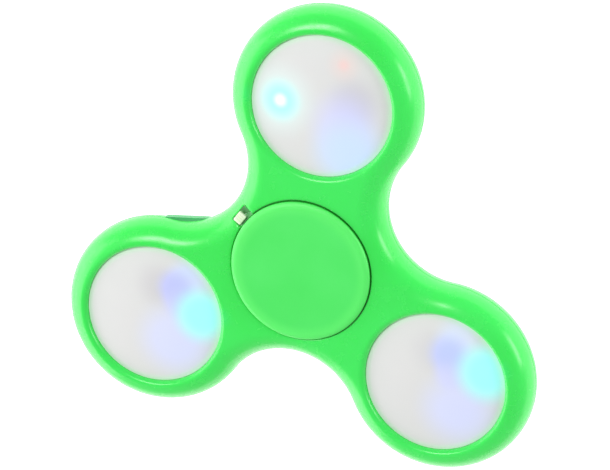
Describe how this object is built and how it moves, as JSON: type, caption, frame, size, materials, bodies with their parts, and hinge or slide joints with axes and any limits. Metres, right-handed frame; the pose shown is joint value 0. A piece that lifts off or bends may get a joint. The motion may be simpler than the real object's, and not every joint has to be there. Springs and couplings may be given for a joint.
{
  "type": "fidget spinner",
  "caption": "Hand spinner with round lobes that light up behind frosted lenses, turning on a ball bearing held between two finger caps, with a small slide switch.",
  "frame": {"origin": "centre of the back cap's flat face, on the spin axis", "axes": "+Z along the spin axis towards the front cap; one lobe points along +Y"},
  "size_m": [0.0744, 0.0683, 0.0094],
  "materials": {
    "shell_green": "satin gloss, slightly translucent ABS",
    "cap_green": "fine matt moulding",
    "lens_frosted": "frosted diffuser lit from inside",
    "board_white": "white solder mask",
    "led_green": "emissive",
    "led_red": "emissive",
    "led_blue": "emissive",
    "chip_black": "moulded chip",
    "cell_steel": "nickel plated",
    "holder_black": "moulded",
    "race_steel": "ground",
    "ball_steel": "polished",
    "cage_nylon": "moulded nylon",
    "shield_steel": "pressed sheet",
    "screw_steel": "zinc plated",
    "switch_steel": "tinned",
    "knob_white": "moulded",
    "wire_red": "insulated wire"
  },
  "bodies": {
    "finger_hub": {"front_cap": "cap_green", "back_cap": "cap_green", "bearing_inner_race": "race_steel"},
    "rotor": {"front_shell": "shell_green", "back_shell": "shell_green", "case_screw_1": "screw_steel", "case_screw_2": "screw_steel", "case_screw_3": "screw_steel", "bearing_outer_race": "race_steel", "bearing_shield_front": "shield_steel", "bearing_shield_back": "shield_steel", "front_lens_top": "lens_frosted", "rear_lens_top": "lens_frosted", "led_board_top": "board_white", "led_green_top": "led_green", "led_red_top": "led_red", "led_blue_top": "led_blue", "control_chip_top": "chip_black", "coin_cell_top": "cell_steel", "cell_holder_top": "holder_black", "front_lens_left": "lens_frosted", "rear_lens_left": "lens_frosted", "led_board_left": "board_white", "led_green_left": "led_green", "led_red_left": "led_red", "led_blue_left": "led_blue", "control_chip_left": "chip_black", "coin_cell_left": "cell_steel", "cell_holder_left": "holder_black", "front_lens_right": "lens_frosted", "rear_lens_right": "lens_frosted", "led_board_right": "board_white", "led_green_right": "led_green", "led_red_right": "led_red", "led_blue_right": "led_blue", "control_chip_right": "chip_black", "coin_cell_right": "cell_steel", "cell_holder_right": "holder_black", "switch_housing": "switch_steel", "switch_wire_left": "wire_red", "switch_wire_top": "wire_red", "link_wire_low": "wire_red", "link_wire_right": "wire_red"},
    "ball_cage": {"bearing_cage": "cage_nylon"},
    "switch_slider": {"switch_knob": "knob_white"},
    "ball_1": {"bearing_ball_1": "ball_steel"},
    "ball_2": {"bearing_ball_2": "ball_steel"},
    "ball_3": {"bearing_ball_3": "ball_steel"},
    "ball_4": {"bearing_ball_4": "ball_steel"},
    "ball_5": {"bearing_ball_5": "ball_steel"},
    "ball_6": {"bearing_ball_6": "ball_steel"},
    "ball_7": {"bearing_ball_7": "ball_steel"}
  },
  "joints": [
    {"name": "rotor_spin", "type": "hinge", "parent": "finger_hub", "child": "rotor", "pos_m": [0, 0, 0.0047], "axis": [0, 0, 1], "continuous": true},
    {"name": "cage_spin", "type": "hinge", "parent": "finger_hub", "child": "ball_cage", "pos_m": [0, 0, 0.0047], "axis": [0, 0, 1], "continuous": true},
    {"name": "ball_1_roll", "type": "hinge", "parent": "ball_cage", "child": "ball_1", "pos_m": [0.0075, 0, 0.0047], "axis": [0, 0, 1], "continuous": true},
    {"name": "ball_2_roll", "type": "hinge", "parent": "ball_cage", "child": "ball_2", "pos_m": [0.00468, 0.00586, 0.0047], "axis": [0, 0, 1], "continuous": true},
    {"name": "ball_3_roll", "type": "hinge", "parent": "ball_cage", "child": "ball_3", "pos_m": [-0.00167, 0.00731, 0.0047], "axis": [0, 0, 1], "continuous": true},
    {"name": "ball_4_roll", "type": "hinge", "parent": "ball_cage", "child": "ball_4", "pos_m": [-0.00676, 0.00325, 0.0047], "axis": [0, 0, 1], "continuous": true},
    {"name": "ball_5_roll", "type": "hinge", "parent": "ball_cage", "child": "ball_5", "pos_m": [-0.00676, -0.00325, 0.0047], "axis": [0, 0, 1], "continuous": true},
    {"name": "ball_6_roll", "type": "hinge", "parent": "ball_cage", "child": "ball_6", "pos_m": [-0.00167, -0.00731, 0.0047], "axis": [0, 0, 1], "continuous": true},
    {"name": "ball_7_roll", "type": "hinge", "parent": "ball_cage", "child": "ball_7", "pos_m": [0.00468, -0.00586, 0.0047], "axis": [0, 0, 1], "continuous": true},
    {"name": "switch_slide", "type": "slide", "parent": "rotor", "child": "switch_slider", "axis": [0.5, 0.866, 0], "range_m": [0, 0.001]}
  ],
  "couplings": [
    {"joint": "cage_spin", "follows": "rotor_spin", "ratio": 0.6323},
    {"joint": "ball_1_roll", "follows": "rotor_spin", "ratio": 1.7569},
    {"joint": "ball_2_roll", "follows": "rotor_spin", "ratio": 1.7569},
    {"joint": "ball_3_roll", "follows": "rotor_spin", "ratio": 1.7569},
    {"joint": "ball_4_roll", "follows": "rotor_spin", "ratio": 1.7569},
    {"joint": "ball_5_roll", "follows": "rotor_spin", "ratio": 1.7569},
    {"joint": "ball_6_roll", "follows": "rotor_spin", "ratio": 1.7569},
    {"joint": "ball_7_roll", "follows": "rotor_spin", "ratio": 1.7569}
  ]
}
